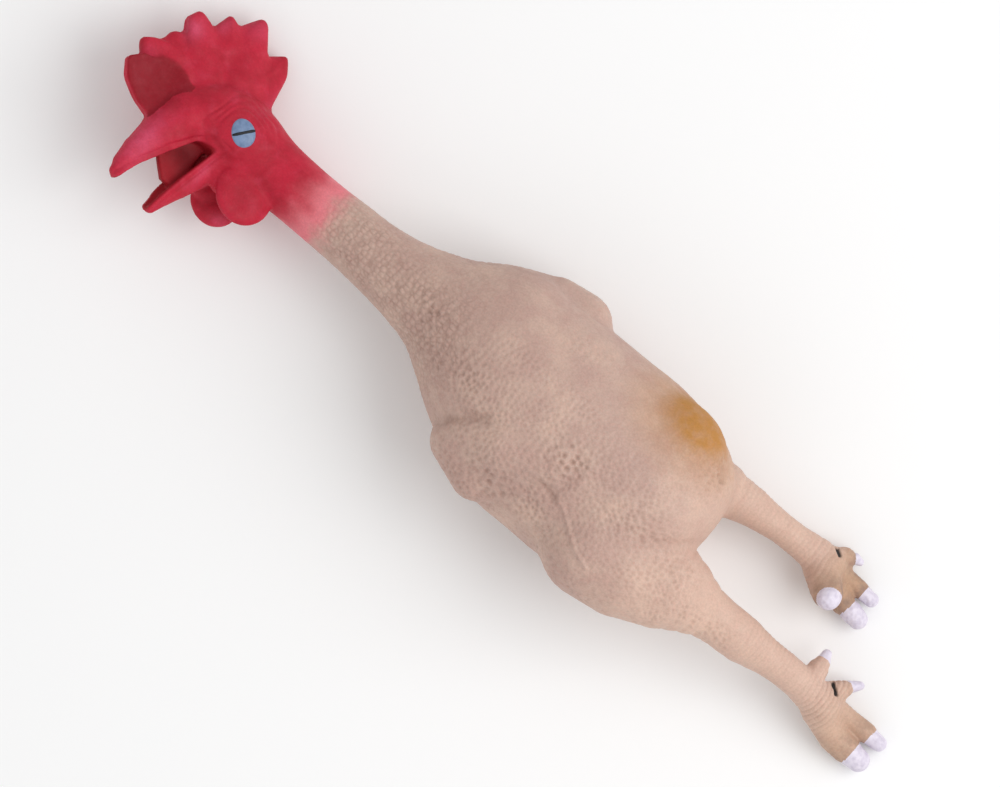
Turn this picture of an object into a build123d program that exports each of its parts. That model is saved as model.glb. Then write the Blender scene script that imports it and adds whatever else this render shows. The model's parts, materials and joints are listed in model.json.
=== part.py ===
from build123d import *
import os

# A rubber chicken: a hollow latex moulding of a plucked chicken, lying on its right side.
# Millimetres. +X runs along the body to the head, +Y to the breast, +Z up.
# The origin is the middle of the flattened patch of skin that the body rests on.

# ---------------------------------------------------------------- driving dimensions
WALL = 1.8               # latex thickness
FLOOR_CUT = 0.25         # how far the loose parts stay above the floor
ALONG_X = (1, 0, 0)

# Wings, tail and drumsticks.
WING_HALF = (38, 29, 15)
WING_LEFT_AT = (24, 31, 79)
WING_RIGHT_AT = (48, -36, 29)
WING_LEFT_WAY = (0, 0.57, 0.82)      # out of the flank that the wing lies on
WING_RIGHT_WAY = (0, -0.82, -0.57)
TAIL_HALF = (20, 15, 14)
TAIL_AT = (-40, -39, 69)
THIGH_HOLLOW_START = 2               # how far each drumstick's hollow reaches into the torso
STUFFING_GAP = 1.2                   # free space between the filling and the skin
STUFFING_FLOOR_GAP = 0.6

# Stations along the body: x, y centre, z centre, half width, half height.
TORSO = [
    (-84, -6, 48, 12, 11),
    (-80, -5, 48, 27, 25),
    (-70, -2, 48, 41, 38),
    (-50, 1, 48, 53, 48),
    (-25, 2, 48, 58, 50.5),
    (0, 2.5, 48, 58, 50.5),
    (25, 2.5, 48, 57, 50),
    (50, -1, 48, 53, 47),
    (70, -6, 47.5, 47.5, 42),
    (90, -8, 46.5, 37, 35),
    (103, -7.3, 46, 29.5, 29.2),
    (110.5, -6.5, 45.6, 26, 25.9),
]
# Stations along a limb: x, y, z, radius. A limb's ball end sits before its first station.
NECK_LOWER = [(124, -5, 44.3, 22.6), (136, -4.2, 42.5, 20), (149.5, -3.6, 40, 18.4)]
NECK_UPPER = [(163.5, -3.4, 37.3, 17.8), (176, -3.1, 34.8, 17.4), (188.5, -3, 32, 17.2)]
THIGH_LEFT = [
    (-6, 34, 62, 16),
    (-22, 37, 64, 25),
    (-42, 38, 65, 29),
    (-60, 36, 63, 28.5),
    (-80, 29.5, 58, 25),
    (-97, 27.2, 53.5, 18),
    (-119, 25.3, 47.5, 13),
]
SHANK_LEFT = [(-131.5, 24.5, 43.6, 12), (-142, 23.8, 40.2, 10.9), (-154.5, 22.6, 35.6, 9.6)]
THIGH_RIGHT = [(-40, -18, 31, 22), (-58, -23, 31, 21), (-70, -28, 30, 16.5), (-82, -30.6, 28.5, 12.2)]
SHANK_RIGHT = [(-93.5, -32, 26.4, 10.8), (-106, -33.3, 23.8, 8.8), (-120.5, -34.2, 20.6, 8.4)]

# Joint centres: where each limb's ball sits.
NECK_BASE = (118, -5.6, 45)
NECK_MID = (157, -3.5, 38.6)
HEAD_NOD = (196, -3, 30.3)
HOCK_LEFT = (-126, 24.9, 45.4)
ANKLE_LEFT = (-160, 22.3, 33.4)
HOCK_RIGHT = (-88, -31.3, 27.4)
ANKLE_RIGHT = (-126, -34.5, 19.4)
BALL_NECK_BASE = 20.6
BALL_NECK_MID = 16
BALL_HEAD_NOD = 14.9
BALL_HOCK_LEFT = 10.3
BALL_ANKLE_LEFT = 7.3
BALL_HOCK_RIGHT = 9.3
BALL_ANKLE_RIGHT = 6.1

# The head's own axes: x up to the crown, y forward to the beak, z to its left side.
HEAD_CENTRE = (245, -3, 28)
HEAD_UP = (0.966, -0.05, 0.25)
HEAD_LEFT = (-0.25, -0.377, 0.891)
HEAD = [
    (202.5, -3, 29.2, 16.8, 16.8),
    (216, -3.2, 27.6, 18.6, 19.4),
    (231, -3.6, 26.6, 21.2, 23.2),
    (247, -4, 26.8, 23, 25.2),
    (262, -3.5, 29, 21.2, 23.6),
    (275, -1, 32, 15.6, 18.6),
    (284, 2, 35, 8, 11),
]

# Comb outline in the head's x, y: tips and the notches between them, from front to back.
COMB_OUTLINE = [
    (38, 26), (54, 23), (66, 17), (71.4, 10), (67, 3.4), (71, -4.6), (62.6, -13), (61, -19.6),
    (57, -23.6), (59.4, -31), (56, -38), (45, -38.6), (41, -49.4), (34, -49), (27, -60), (21.6, -59),
    (13, -47.6), (3, -55), (-4, -45), (-7, -22),
]
COMB_THICKNESS = 10
COMB_ROOT_RADIUS = 26     # the comb starts at the skull's round crown

# Beaks: stations along the head's y: y, x centre, half height, half width.
UPPER_BEAK = [(16, 26, 15, 15), (30, 31, 12, 12), (44, 34, 8, 8.4), (57, 35.5, 3.4, 3.8)]
LOWER_BEAK = [(23, 7, 7.6, 12), (38, 7.5, 8.2, 11.4), (51, 9, 5.4, 7), (62, 10, 2.4, 2.8)]
JAW_PIVOT = (10, 21)      # in the head's x, y
JAW_KNUCKLE = 6.6         # radius of the flexing root of the lower beak
JAW_WIDTH = 20            # length of that root across the head
JAW_SLOT_PLAY = 0.5
MOUTH_SLOT = (-13, 10, -1.5, 34)   # free space round the beak from the pivot: low x, high x, low y, high y
MOUTH_WIDTH = 26

# Wattles, eyes: positions in the head's own axes.
WATTLE_CENTRE = (-20, 25)
WATTLE_HALF = (16, 14, 4.6)
WATTLE_SPREAD = 11        # each wattle's distance from the head's middle plane
EYE_AT = (2, 3)
EYE_RADIUS = 7.6
EYE_DEPTH = 22.4          # from the middle plane to the eye's flat base
EYE_DOME = 6.6            # the dome's height over its base, most of it sunk in the cheek
PUPIL_PROUD = 0.3         # how far the slit stands out of the eye
PUPIL_LENGTH = 12.5
PUPIL_WIDTH = 1.5
PUPIL_THICKNESS = 1.4
PUPIL_TILT = 48           # degrees from the head's x axis

# Squeaker: a moulded air reed in the rump, behind a vent between the legs.
SQUEAKER_AT = (-76, -6, 48)
SQUEAKER_CLEARANCE = (8, 0.6, 1)     # free space in the filling: behind, around and ahead of the housing
SQUEAKER_RADIUS = 13
SQUEAKER_LENGTH = 12
SQUEAKER_WALL = 1.4
NOZZLE_RADIUS = 3.6
NOZZLE_LENGTH = 5.6
NOZZLE_OVERLAP = 0.4
VENT_RADIUS = 1.6
VENT_START = -90
VENT_LENGTH = 30
CAP_THICKNESS = 1.6
CAP_SLOT = (12, 2)
REED_SIZE = (0.6, 11, 4)
REED_ROOT = (-73.4, -11.5, 48)


# ---------------------------------------------------------------- building blocks
def across_x(x, y, z, half_width, half_height):
    """An ellipse square to X; its longer half axis is laid along that side."""
    if half_width >= half_height:
        return Plane(origin=(x, y, z), x_dir=(0, 1, 0), z_dir=(1, 0, 0)) * Ellipse(half_width, half_height)
    return Plane(origin=(x, y, z), x_dir=(0, 0, 1), z_dir=(1, 0, 0)) * Ellipse(half_height, half_width)


def lofted(stations, shrink=0.0):
    """A loft through ellipses square to X, each drawn in by shrink."""
    return loft([across_x(x, y, z, a - shrink, b - shrink) for x, y, z, a, b in stations])


def directions(stations):
    """The direction of a limb at each station, from its neighbours."""
    points = [Vector(*s[:3]) for s in stations]
    last = len(points) - 1
    return [(points[min(i + 1, last)] - points[max(i - 1, 0)]).normalized() for i in range(last + 1)]


def limb(stations, shrink=0.0, start=0.0, end=0.0):
    """A round limb through its stations, drawn in by shrink and made longer at either end."""
    ways = directions(stations)
    rings = []
    for i, (x, y, z, radius) in enumerate(stations):
        shift = end if i == len(stations) - 1 else -start if i == 0 else 0
        centre = Vector(x, y, z) + ways[i] * shift
        plane = Plane(origin=centre, x_dir=Vector(0, 0, 1).cross(ways[i]), z_dir=ways[i])
        rings.append(plane * Circle(radius - shrink))
    return loft(rings)


def ball(centre, radius, way):
    """A ball whose poles lie along way, so that the limb it joins cuts it square."""
    side = Vector(0, 0, 1).cross(Vector(*way))
    return Plane(origin=centre, x_dir=side, z_dir=way) * Sphere(radius)


def sleeve(stations, centre, ball_radius):
    """A hollow limb open at its far end, with a hollow ball at its near end."""
    way = directions(stations)[0]
    outside = limb(stations) + ball(centre, ball_radius, way)
    hollow = limb(stations, shrink=WALL, start=-WALL, end=1) + ball(centre, ball_radius - WALL, way)
    return outside - hollow


def capsule(start, end, start_radius, end_radius):
    """A round bar with ball ends, its radius changing from start to end."""
    way = Vector(*end) - Vector(*start)
    side = Vector(0, 0, 1).cross(way) if abs(way.Z) < 0.9 * way.length else Vector(1, 0, 0)
    first = Plane(origin=start, x_dir=side, z_dir=way)
    last = Plane(origin=end, x_dir=side, z_dir=way)
    bar = loft([first * Circle(start_radius), last * Circle(end_radius)])
    return bar + first * Sphere(start_radius) + last * Sphere(end_radius)


def ellipsoid(centre, half_axes, long_way=(1, 0, 0), up=(0, 0, 1)):
    """An ellipsoid whose first half axis lies along long_way and third along up."""
    return Plane(origin=centre, x_dir=long_way, z_dir=up) * scale(Sphere(1), by=half_axes)


def above(shape, height):
    """The part of a shape above a level."""
    return shape & Pos(0, 0, height + 100) * Box(1000, 1000, 200)


def fused(shapes):
    whole = shapes[0]
    for shape in shapes[1:]:
        whole = whole + shape
    return whole


# ---------------------------------------------------------------- torso
def torso_outside():
    return above(lofted(TORSO), 0)


def torso_hollow():
    rear = (TORSO[0][0] + WALL, *TORSO[0][1:])
    front = (TORSO[-1][0] + 0.5, *TORSO[-1][1:])
    return above(lofted([rear, *TORSO[1:-1], front], shrink=WALL), WALL)


def vent_hole():
    way = Plane(origin=(VENT_START, SQUEAKER_AT[1], SQUEAKER_AT[2]), x_dir=(0, 1, 0), z_dir=(1, 0, 0))
    return way * Cylinder(VENT_RADIUS, VENT_LENGTH)


def wing(side_way, centre, trims):
    """A folded wing: a flat swelling on the flank, cut to the torso's outside."""
    swell = ellipsoid(centre, WING_HALF, up=side_way)
    for trim in trims:
        swell = swell - trim
    return above(swell, FLOOR_CUT)


def thigh(stations, torso):
    """A hollow drumstick that starts on the torso's outside."""
    return limb(stations) - limb(stations, shrink=WALL, start=THIGH_HOLLOW_START, end=1) - torso


def stuffing(squeaker_space):
    fill = above(lofted(TORSO[1:9], shrink=WALL + STUFFING_GAP), WALL + STUFFING_FLOOR_GAP)
    return fill - squeaker_space


# ---------------------------------------------------------------- squeaker
def squeaker_place(offset=0.0):
    x, y, z = SQUEAKER_AT
    return Plane(origin=(x + offset, y, z), x_dir=(0, 1, 0), z_dir=(1, 0, 0))


def from_base(radius, length):
    """A cylinder standing on its plane."""
    return Cylinder(radius, length, align=(Align.CENTER, Align.CENTER, Align.MIN))


def squeaker_housing():
    cup = squeaker_place() * from_base(SQUEAKER_RADIUS, SQUEAKER_LENGTH)
    room = squeaker_place(SQUEAKER_WALL) * from_base(SQUEAKER_RADIUS - SQUEAKER_WALL, SQUEAKER_LENGTH)
    nozzle = squeaker_place(-NOZZLE_LENGTH) * from_base(NOZZLE_RADIUS, NOZZLE_LENGTH + NOZZLE_OVERLAP)
    return cup - room + nozzle - vent_hole()


def squeaker_cap():
    seat = squeaker_place(SQUEAKER_LENGTH - CAP_THICKNESS)
    disc = seat * from_base(SQUEAKER_RADIUS - SQUEAKER_WALL, CAP_THICKNESS)
    return disc - seat * Box(*CAP_SLOT, 4 * CAP_THICKNESS)


def squeaker_reed():
    thickness, length, width = REED_SIZE
    x, y, z = REED_ROOT
    return Pos(x, y + length / 2, z) * Box(thickness, length, width)


# ---------------------------------------------------------------- head
def head_place():
    return Plane(origin=HEAD_CENTRE, x_dir=HEAD_UP, z_dir=HEAD_LEFT)


def jaw_slot(grow=0.0):
    """The recess that the lower beak's root turns in, open to the beak's side."""
    at = head_place() * Pos(JAW_PIVOT[0], JAW_PIVOT[1], 0)
    root = at * Cylinder(JAW_KNUCKLE + JAW_SLOT_PLAY + grow, JAW_WIDTH + 2 * JAW_SLOT_PLAY + 2 * grow)
    low_x, high_x, low_y, high_y = MOUTH_SLOT
    middle = Pos((low_x + high_x) / 2, (low_y + high_y) / 2, 0)
    mouth = at * middle * Box(high_x - low_x + 2 * grow, high_y - low_y + 2 * grow, MOUTH_WIDTH + 2 * grow)
    return root + mouth


def head_skin():
    outside = lofted(HEAD) + ball(HEAD_NOD, BALL_HEAD_NOD, ALONG_X)
    rear = (HEAD[0][0] + WALL, *HEAD[0][1:])
    front = (HEAD[-1][0] - WALL, *HEAD[-1][1:])
    hollow = lofted([rear, *HEAD[1:-1], front], shrink=WALL)
    shell = outside - (hollow + ball(HEAD_NOD, BALL_HEAD_NOD - WALL, ALONG_X))
    slot_wall = jaw_slot(grow=WALL) & lofted(HEAD)
    return above(shell + slot_wall - jaw_slot(), FLOOR_CUT)


def comb(trim):
    """The comb: a thick lobed plate in the head's middle plane."""
    face = make_face(Polyline(*COMB_OUTLINE, close=True))
    plate = head_place() * extrude(face, amount=COMB_THICKNESS / 2, both=True)
    return above(plate - trim, FLOOR_CUT)


def beak(stations):
    rings = []
    for y, x, half_height, half_width in stations:
        local = Plane(origin=(x, y, 0), x_dir=(0, 0, 1), z_dir=(0, 1, 0))
        if half_width < half_height:
            local = Plane(origin=(x, y, 0), x_dir=(1, 0, 0), z_dir=(0, 1, 0))
        rings.append(local * Ellipse(max(half_width, half_height), min(half_width, half_height)))
    return head_place() * loft(rings)


def lower_beak():
    root = head_place() * Pos(JAW_PIVOT[0], JAW_PIVOT[1], 0) * Cylinder(JAW_KNUCKLE, JAW_WIDTH)
    return root + beak(LOWER_BEAK)


def wattle(side, trims):
    x, y = WATTLE_CENTRE
    flap = head_place() * Pos(x, y, side * WATTLE_SPREAD) * scale(Sphere(1), by=WATTLE_HALF)
    for trim in trims:
        flap = flap - trim
    return above(flap, FLOOR_CUT)


def eye_place(side):
    turn = Rotation(0, 0, 0) if side > 0 else Rotation(180, 0, 0)
    return head_place() * Pos(EYE_AT[0], EYE_AT[1], side * EYE_DEPTH) * turn


def eye(side, trim, pupil_solid):
    dome = scale(Sphere(1), by=(EYE_RADIUS, EYE_RADIUS, EYE_DOME))
    return eye_place(side) * dome - trim - pupil_solid


def pupil(side, trim):
    bar = Box(PUPIL_LENGTH, PUPIL_WIDTH, 20)
    slit = eye_place(side) * (Rotation(0, 0, side * PUPIL_TILT) * bar)
    proud = EYE_DOME + PUPIL_PROUD
    big = scale(Sphere(1), by=(EYE_RADIUS + 0.2, EYE_RADIUS + 0.2, proud))
    small = scale(Sphere(1), by=(EYE_RADIUS - 1, EYE_RADIUS - 1, proud - PUPIL_THICKNESS))
    crust = eye_place(side) * (big - small)
    cheek_side = eye_place(side) * Pos(0, 0, -15) * Box(40, 40, 30)
    return slit & crust - cheek_side - trim


# ---------------------------------------------------------------- feet
# Toes and claws: start, end, start radius, end radius.
FOOT_LEFT_BARS = [
    ((-165, 22.5, 31.4), (-184, 24, 24.5), 9.2, 10.2),
    ((-184, 24, 24.5), (-198, 27, 17.5), 10.2, 11),
    ((-196, 29, 17), (-211, 32.3, 10.6), 10, 8),
    ((-194, 21, 17), (-215, 19.5, 7.6), 8, 5.2),
    ((-188, 19, 19), (-191.5, 10, 13), 7, 5.6),
    ((-173, 21, 26), (-174.6, 9, 22), 6.5, 5.8),
]
CLAWS_LEFT_BARS = [
    ((-214, 33.2, 9), (-223.2, 33.4, 8.4), 6.8, 6.2),
    ((-217, 19.6, 7), (-225.6, 19.6, 6.4), 4.7, 4.2),
    ((-193, 8, 12), (-198.4, 2.8, 9.6), 3.6, 2.4),
    ((-174.4, 7, 21.6), (-173.8, 1.8, 20.4), 4, 2.8),
]
FOOT_RIGHT_BARS = [
    ((-131, -34.6, 18.5), (-143, -34, 15.5), 8.3, 11.5),
    ((-143, -34, 15.5), (-151, -31, 15), 11.5, 10),
    ((-146, -30, 19), (-153.5, -23, 30), 9.5, 7.4),
    ((-144, -38, 13), (-149, -44, 10), 7, 6),
    ((-150, -36, 12), (-164, -36.3, 8), 7, 4.7),
    ((-151, -29, 13), (-164, -27, 9), 7, 5.2),
]
CLAWS_RIGHT_BARS = [
    ((-154.2, -22.6, 32.6), (-155, -21.6, 36.5), 6.9, 6.2),
    ((-151, -46.5, 9), (-155.6, -47.2, 7.6), 3.2, 2.2),
    ((-166, -36.2, 7.2), (-173.2, -36, 6.6), 4.2, 3.8),
    ((-166, -25, 9.4), (-174.4, -23.4, 8.6), 4.9, 5.2),
]


def foot(bars, ankle, ball_radius):
    leg_way = Vector(*bars[0][1]) - Vector(*bars[0][0])
    return above(fused([capsule(*bar) for bar in bars]) + ball(ankle, ball_radius, leg_way), FLOOR_CUT)


def claws(bars, trim):
    """Four separate horn tips, each cut to the skin of its toe."""
    tips = []
    for bar in bars:
        pieces = (above(capsule(*bar), FLOOR_CUT) - trim).solids()
        tips.append(max(pieces, key=lambda piece: piece.volume))
    return Compound(children=tips)


# ---------------------------------------------------------------- the whole bird
TORSO_OUTSIDE = torso_outside()
TORSO_HOLLOW = torso_hollow()
THIGH_LEFT_OUTSIDE = limb(THIGH_LEFT)
HEAD_OUTSIDE = lofted(HEAD) + ball(HEAD_NOD, BALL_HEAD_NOD, ALONG_X)
UPPER_BEAK_SOLID = beak(UPPER_BEAK) - HEAD_OUTSIDE - jaw_slot()
BEHIND, AROUND, AHEAD = SQUEAKER_CLEARANCE
SQUEAKER_SPACE_LENGTH = SQUEAKER_LENGTH + BEHIND + AHEAD
SQUEAKER_SPACE = squeaker_place(-BEHIND) * from_base(SQUEAKER_RADIUS + AROUND, SQUEAKER_SPACE_LENGTH)

parts = {
    "torso_skin": TORSO_OUTSIDE - TORSO_HOLLOW - vent_hole(),
    "tail": ellipsoid(TAIL_AT, TAIL_HALF) - TORSO_OUTSIDE,
    "wing_left": wing(WING_LEFT_WAY, WING_LEFT_AT, [TORSO_OUTSIDE, THIGH_LEFT_OUTSIDE]),
    "wing_right": wing(WING_RIGHT_WAY, WING_RIGHT_AT, [TORSO_OUTSIDE]),
    "thigh_left": thigh(THIGH_LEFT, TORSO_OUTSIDE),
    "thigh_right": thigh(THIGH_RIGHT, TORSO_OUTSIDE),
    "body_stuffing": stuffing(SQUEAKER_SPACE),
    "squeaker_housing": squeaker_housing(),
    "squeaker_cap": squeaker_cap(),
    "squeaker_reed": squeaker_reed(),
    "neck_lower_skin": sleeve(NECK_LOWER, NECK_BASE, BALL_NECK_BASE),
    "neck_upper_skin": sleeve(NECK_UPPER, NECK_MID, BALL_NECK_MID),
    "head_skin": head_skin(),
    "comb": comb(HEAD_OUTSIDE + UPPER_BEAK_SOLID),
    "upper_beak": UPPER_BEAK_SOLID,
    "lower_beak": lower_beak(),
    "shank_left_skin": sleeve(SHANK_LEFT, HOCK_LEFT, BALL_HOCK_LEFT),
    "shank_right_skin": sleeve(SHANK_RIGHT, HOCK_RIGHT, BALL_HOCK_RIGHT),
    "foot_left_skin": foot(FOOT_LEFT_BARS, ANKLE_LEFT, BALL_ANKLE_LEFT),
    "foot_right_skin": foot(FOOT_RIGHT_BARS, ANKLE_RIGHT, BALL_ANKLE_RIGHT),
}
for name, side in (("left", 1), ("right", -1)):
    parts[f"wattle_{name}"] = wattle(side, [HEAD_OUTSIDE, jaw_slot()])
    parts[f"pupil_{name}"] = pupil(side, HEAD_OUTSIDE)
    parts[f"eye_{name}"] = eye(side, HEAD_OUTSIDE, parts[f"pupil_{name}"])
parts["claws_left"] = claws(CLAWS_LEFT_BARS, parts["foot_left_skin"])
parts["claws_right"] = claws(CLAWS_RIGHT_BARS, parts["foot_right_skin"])

os.makedirs("parts", exist_ok=True)
for name, shape in parts.items():
    export_step(shape, f"parts/{name}.step")
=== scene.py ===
import json
import math

import bpy
import numpy as np
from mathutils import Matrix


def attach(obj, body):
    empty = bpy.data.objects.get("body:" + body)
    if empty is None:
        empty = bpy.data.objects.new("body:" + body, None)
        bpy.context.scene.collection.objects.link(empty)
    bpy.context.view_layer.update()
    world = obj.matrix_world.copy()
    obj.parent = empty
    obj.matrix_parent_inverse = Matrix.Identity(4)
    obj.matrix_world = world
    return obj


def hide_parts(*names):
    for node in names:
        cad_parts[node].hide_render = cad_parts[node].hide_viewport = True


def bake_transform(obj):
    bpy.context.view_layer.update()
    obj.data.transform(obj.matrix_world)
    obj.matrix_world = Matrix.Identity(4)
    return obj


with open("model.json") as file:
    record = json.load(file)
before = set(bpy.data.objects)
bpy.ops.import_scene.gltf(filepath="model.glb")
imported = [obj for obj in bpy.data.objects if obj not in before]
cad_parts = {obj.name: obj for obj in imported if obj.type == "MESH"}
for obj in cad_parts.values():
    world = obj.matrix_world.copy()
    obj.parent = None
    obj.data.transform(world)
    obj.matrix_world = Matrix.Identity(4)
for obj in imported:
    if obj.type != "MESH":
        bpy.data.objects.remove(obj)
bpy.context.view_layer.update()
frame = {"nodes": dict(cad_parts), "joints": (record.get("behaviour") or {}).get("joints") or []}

import openvdb
from mathutils import Matrix, Vector

# A rubber chicken in moulded latex. The whole skin is one distance field, in millimetres, built from
# rounded bars, section tubes and lobes. It is meshed once, given its goose skin and creases as real
# shape, and then cut into the moulding's named features and the stretches that bend at a joint.

MM = 0.001
VOXEL = 0.6              # mesh spacing, mm
FAR = 1e3

# ---- places taken from the frame
joints = {j["name"]: j for j in frame["joints"]}


def joint_at(name):
    return np.array(joints[name]["pos_m"], float) / MM


NECK_BASE = joint_at("neck_base_bend")
NECK_MID = joint_at("neck_mid_lift")
HEAD_NOD = joint_at("head_turn")
HOCK_LEFT = joint_at("hock_left_bend")
ANKLE_LEFT = joint_at("ankle_left_lift")
HOCK_RIGHT = joint_at("hock_right_bend")
ANKLE_RIGHT = joint_at("ankle_right_lift")


def unit(v):
    v = np.array(v, float)
    return v / np.linalg.norm(v)


# The head's own axes: up to the crown, forward to the beak, and out of its left cheek.
HEAD_CENTRE = np.array([245.0, -3.0, 28.0])
HEAD_LEFT = unit(joints["jaw_open"]["axis"])
HEAD_UP = unit(np.array([0.966, -0.05, 0.25]) - np.dot([0.966, -0.05, 0.25], HEAD_LEFT) * HEAD_LEFT)
HEAD_FRONT = np.cross(HEAD_LEFT, HEAD_UP)


def head_point(up, front, left=0.0):
    return HEAD_CENTRE + up * HEAD_UP + front * HEAD_FRONT + left * HEAD_LEFT


# ---- distance-field tools (mm)
def smooth_min(a, b, k):
    h = np.clip(0.5 + 0.5 * (b - a) / k, 0, 1)
    return b + (a - b) * h - k * h * (1 - h)


def smooth_max(a, b, k):
    return -smooth_min(-a, -b, k)


def smooth_step(low, high, value):
    t = np.clip((value - low) / (high - low), 0, 1)
    return t * t * (3 - 2 * t)


def rod(p, stations):
    """A round bar through stations of x, y, z, radius."""
    best = None
    for (ax, ay, az, ar), (bx, by, bz, br) in zip(stations, stations[1:]):
        ux, uy, uz = bx - ax, by - ay, bz - az
        size = ux * ux + uy * uy + uz * uz
        t = np.clip(((p[0] - ax) * ux + (p[1] - ay) * uy + (p[2] - az) * uz) / size, 0, 1)
        d = np.sqrt((p[0] - ax - t * ux) ** 2 + (p[1] - ay - t * uy) ** 2 + (p[2] - az - t * uz) ** 2)
        d = d - (ar + t * (br - ar))
        best = d if best is None else np.minimum(best, d)
    return best


def lobe(p, centre, half, axes=None):
    """An ellipsoid with its half axes along the row's axes, or along the rows of axes."""
    q = [p[i] - centre[i] for i in range(3)]
    if axes is not None:
        q = [sum(q[i] * axis[i] for i in range(3)) for axis in axes]
    k0 = np.sqrt(sum((q[i] / half[i]) ** 2 for i in range(3)))
    k1 = np.sqrt(sum((q[i] / half[i] ** 2) ** 2 for i in range(3)))
    return k0 * (k0 - 1) / np.maximum(k1, 1e-6)


def smooth_curve(xs, ys):
    """A smooth curve through points, as a function."""
    xs, ys = np.array(xs, float), np.array(ys, float)
    slopes = np.gradient(ys, xs)

    def at(x):
        x = np.clip(x, xs[0], xs[-1])
        i = np.clip(np.searchsorted(xs, x) - 1, 0, len(xs) - 2)
        step = xs[i + 1] - xs[i]
        t = (x - xs[i]) / step
        a = (1 + 2 * t) * (1 - t) ** 2 * ys[i] + t * (1 - t) ** 2 * step * slopes[i]
        return a + t * t * (3 - 2 * t) * ys[i + 1] + t * t * (t - 1) * step * slopes[i + 1]

    return at


# ---- body: torso, neck and skull
# Stations along the body: x, y centre, z centre, half width, half height.
CORE = [
    (-85, -6, 48, 0.1, 0.1),
    (-80, -5, 48, 27, 25),
    (-70, -2, 48, 41, 38),
    (-50, 1, 48, 53, 47),
    (-25, 2, 48, 58, 50),
    (0, 2.5, 48, 58, 50.3),
    (25, 2.5, 48, 57.5, 50),
    (50, -1, 48, 53, 47),
    (70, -6, 47.5, 48, 42),
    (90, -8, 46.5, 37.5, 35),
    (100, -7.6, 46, 31, 31),
    (118, -5.8, 45, 24.2, 24),
    (130, -4.6, 43.2, 21.3, 21.2),
    (150, -3.6, 40, 18.7, 18.6),
    (165, -3.5, 37.1, 18, 17.9),
    (180, -3.1, 34, 17.5, 17.4),
    (200, -3, 30.4, 17.5, 17.4),
    (220, -3.1, 27.6, 18.9, 20),
    (234, -3.7, 26.8, 21.6, 23),
    (248, -4, 27, 22.6, 24),
    (262, -3.4, 29, 20.6, 22),
    (275, -1, 32, 15, 17),
    (285, 2, 35, 0.1, 0.1),
]
xs, ycs, zcs, ays, azs = zip(*CORE)
CORE_Y = smooth_curve(xs, ycs)
CORE_Z = smooth_curve(xs, zcs)
CORE_A2 = smooth_curve(xs, np.square(ays))
CORE_B2 = smooth_curve(xs, np.square(azs))


def core(p):
    """The torso, neck and skull: ellipses square to X."""
    x = p[0].ravel()
    grid = np.arange(CORE[0][0] - 3, CORE[-1][0] + 3, 0.5)
    half_y = np.sqrt(np.maximum(CORE_A2(grid), 0.2))
    half_z = np.sqrt(np.maximum(CORE_B2(grid), 0.2))
    steep = np.sqrt(1 + np.minimum(np.abs(np.gradient(half_y, grid)), 2.5) ** 2)
    curves = (CORE_Y(grid), CORE_Z(grid), half_y, half_z, steep)
    yc, zc, a, b, steep = [np.interp(x, grid, curve).reshape(p[0].shape) for curve in curves]
    q = np.sqrt(((p[1] - yc) / a) ** 2 + ((p[2] - zc) / b) ** 2)
    beyond = np.maximum(CORE[0][0] - p[0], 0) + np.maximum(p[0] - CORE[-1][0], 0)
    return (q - 1) * np.minimum(a, b) / steep + beyond


# ---- body: limbs and lobes
THIGH_LEFT = [
    (-42, 38, 65, 28.6), (-60, 35.8, 63, 28), (-80, 29.5, 58, 25.5), (-90, 27.8, 55.4, 21.5),
    (-100, 27, 52.7, 17.4), (-110, 26, 50, 14.3), (-120, 25.2, 47.3, 13), (-128, 24.9, 44.8, 13),
    (-134, 24.6, 42.8, 12.7),
]
SHANK_LEFT = [
    (-134, 24.6, 42.8, 12.7), (-142, 24, 40.2, 11.3), (-150, 23.2, 37.4, 10), (-160, 22.3, 33.4, 9.4),
]
ANKLE_BAR_LEFT = [
    (-160, 22.3, 33.4, 9.4), (-172, 22.2, 28.6, 9.3), (-183, 23.2, 24.4, 9.8), (-190, 24.8, 21.4, 10.6),
]
THIGH_RIGHT = [(-48, -22, 31, 22), (-62, -25, 31, 19), (-74, -28.6, 30, 15), (-84, -30.8, 28.4, 12)]
SHANK_RIGHT = [
    (-84, -30.8, 28.4, 12), (-92, -32.2, 26.6, 10.8), (-102, -33, 24.4, 9.3), (-112, -33.9, 22.2, 8.3),
    (-122, -34.3, 20.2, 8.4), (-130, -34.9, 18.6, 9),
]
ANKLE_BAR_RIGHT = [(-130, -34.9, 18.6, 9), (-136, -35, 17.4, 10), (-142, -34, 16.4, 11.6)]

WING_LEFT_BARS = [
    [(3, 17, 85.5, 14.5), (28, 27, 80, 17.5), (45, 32.5, 69, 17.5)],
    [(30, 48, 62, 15.5), (49, 42.5, 60, 14.6)],
]
WING_RIGHT_BARS = [[(40, -46.5, 38, 17.5), (55, -44.5, 37, 17), (78, -35, 38, 14)]]

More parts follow.
